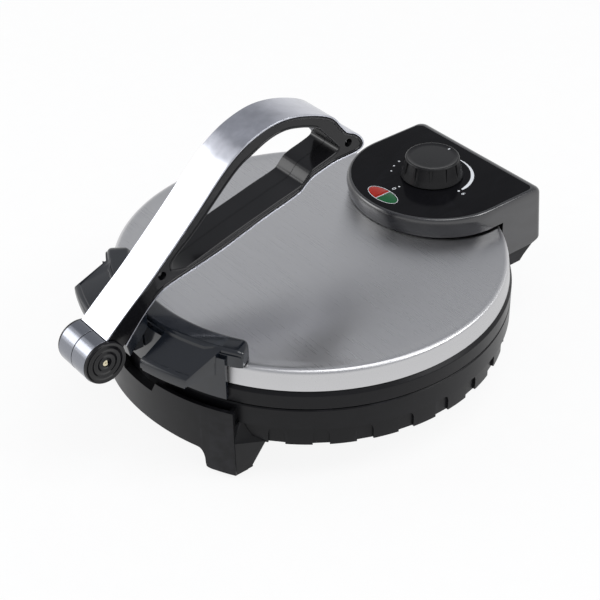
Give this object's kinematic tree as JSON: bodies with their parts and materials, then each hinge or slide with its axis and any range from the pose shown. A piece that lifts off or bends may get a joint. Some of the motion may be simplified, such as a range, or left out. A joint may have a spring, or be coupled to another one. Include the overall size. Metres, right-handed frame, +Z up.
{
  "type": "electric roti maker",
  "caption": "Round electric flatbread press with a hinged steel lid, a long strap handle on a front barrel, and a rear control housing with thermostat knob and lamps",
  "frame": {"origin": "middle of the bounding box's footprint, on the floor under the foot pads", "axes": "+X to the right seen from the handle's barrel, +Y from the barrel at the front to the control housing at the rear, +Z up"},
  "size_m": [0.2828, 0.3611, 0.2088],
  "materials": {
    "black_plastic": "satin moulded",
    "gloss_black": "glossy",
    "knob_plastic": "fine grained",
    "brushed_steel": "brushed",
    "polished_steel": "polished",
    "plain_steel": "zinc plated",
    "brass": "plain",
    "non_stick": "non-stick coated",
    "shield_steel": "aluminised",
    "element_steel": "heat-darkened",
    "rubber": "matt",
    "ceramic": "unglazed",
    "red_lens": "clear tinted",
    "green_lens": "clear tinted"
  },
  "bodies": {
    "base": {"base_housing": "black_plastic", "lower_plate": "non_stick", "lower_heating_element": "element_steel", "lower_heat_shield": "shield_steel", "bottom_cover": "plain_steel", "bottom_screw_1": "plain_steel", "bottom_screw_2": "plain_steel", "bottom_screw_3": "plain_steel", "bottom_screw_4": "plain_steel", "foot_pad_front_left": "rubber", "foot_pad_front_right": "rubber", "foot_pad_rear_left": "rubber", "foot_pad_rear_right": "rubber", "terminal_block": "ceramic", "thermal_fuse": "ceramic", "hinge_pin": "plain_steel"},
    "lid": {"lid_cover": "brushed_steel", "lid_skirt": "black_plastic", "upper_plate": "non_stick", "upper_heating_element": "element_steel", "upper_heat_shield": "shield_steel", "control_housing": "black_plastic", "control_panel": "gloss_black", "red_lamp": "red_lens", "green_lamp": "green_lens", "lamp_holder": "ceramic", "thermostat": "plain_steel", "front_grip": "black_plastic", "grip_screw_left": "plain_steel", "grip_screw_right": "plain_steel", "handle_bracket": "black_plastic", "pivot_tongue": "plain_steel"},
    "handle": {"handle_strap": "polished_steel", "handle_frame_left": "black_plastic", "handle_frame_right": "black_plastic", "handle_screw_front": "plain_steel", "handle_screw_rear": "plain_steel", "barrel_sleeve_left": "polished_steel", "barrel_sleeve_right": "polished_steel", "barrel_cap_left": "black_plastic", "barrel_cap_right": "black_plastic", "pivot_pin": "plain_steel", "pivot_screw_left": "brass", "pivot_screw_right": "brass"},
    "knob": {"thermostat_knob": "knob_plastic", "thermostat_shaft": "plain_steel"}
  },
  "joints": [
    {"name": "lid_hinge", "type": "hinge", "parent": "base", "child": "lid", "pos_m": [0, 0.17495, 0.0608], "axis": [-1, 0, 0], "range_deg": [0, 95]},
    {"name": "handle_swing", "type": "hinge", "parent": "lid", "child": "handle", "pos_m": [0, -0.16515, 0.0864], "axis": [1, 0, 0], "range_deg": [0, 120]},
    {"name": "knob_turn", "type": "hinge", "parent": "lid", "child": "knob", "pos_m": [0, 0.12865, 0.1044], "axis": [0, 0, 1], "range_deg": [-90, 180]}
  ]
}
